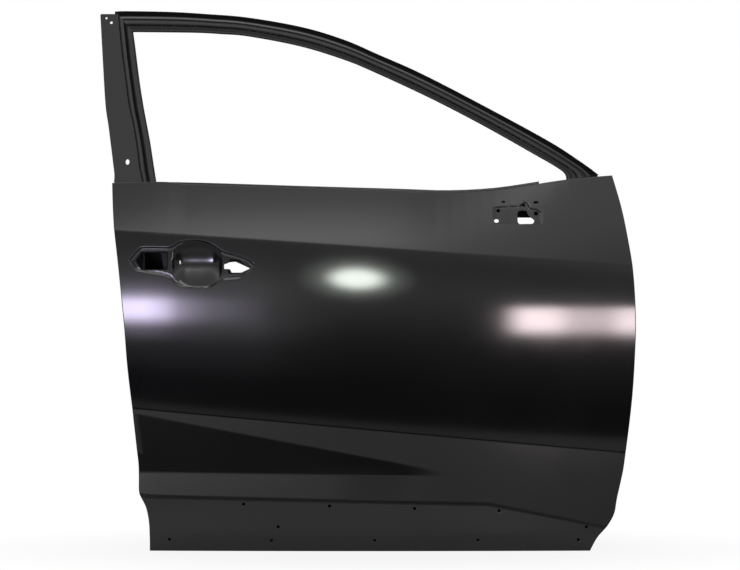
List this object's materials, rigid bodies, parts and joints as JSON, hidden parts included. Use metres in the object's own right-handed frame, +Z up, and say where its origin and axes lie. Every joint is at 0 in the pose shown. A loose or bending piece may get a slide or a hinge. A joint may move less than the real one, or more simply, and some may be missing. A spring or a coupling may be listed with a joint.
{
  "type": "car door shell",
  "caption": "Bare right-hand front car door shell in black primer, with window frame, hemmed outer skin, handle recess, mirror seat and inner panel.",
  "frame": {"origin": "middle of the upper hinge seat on the hinge wall's outer face, between its two bolts", "axes": "+X to the front of the car and out of the hinge seat, +Y from the outer skin into the cabin, +Z up"},
  "size_m": [1.1766, 0.2293, 1.1887],
  "materials": {
    "skin_primer": "satin black cathodic primer on pressed steel",
    "frame_primer": "satin black primer on roll-formed steel",
    "inner_primer": "dull black primer on deep-drawn steel",
    "bracket_primer": "dull black primer on thicker steel",
    "mastic": "matt anti-flutter mastic",
    "nut_steel": "primed weld nut"
  },
  "bodies": {
    "root": {"beam_bracket_front": "bracket_primer", "beam_bracket_rear": "bracket_primer", "belt_reinforcement_inner": "bracket_primer", "belt_reinforcement_outer": "bracket_primer", "check_strap_reinforcement": "bracket_primer", "front_channel_foot": "bracket_primer", "front_corner_gusset": "bracket_primer", "front_run_channel": "bracket_primer", "handle_reinforcement": "bracket_primer", "hinge_reinforcement_lower": "bracket_primer", "hinge_reinforcement_upper": "bracket_primer", "inner_panel": "inner_primer", "latch_reinforcement": "bracket_primer", "mastic_pad_1": "mastic", "mastic_pad_2": "mastic", "mastic_pad_3": "mastic", "mastic_pad_4": "mastic", "mirror_reinforcement": "bracket_primer", "outer_skin": "skin_primer", "pillar_sash_panel": "frame_primer", "rear_channel_foot": "bracket_primer", "rear_corner_gusset": "bracket_primer", "rear_run_channel": "bracket_primer", "rear_window_sash": "frame_primer", "side_impact_beam": "bracket_primer", "upper_window_frame": "frame_primer", "weld_nut_lower_1": "nut_steel", "weld_nut_lower_2": "nut_steel", "weld_nut_upper_1": "nut_steel", "weld_nut_upper_2": "nut_steel"}
  },
  "joints": []
}
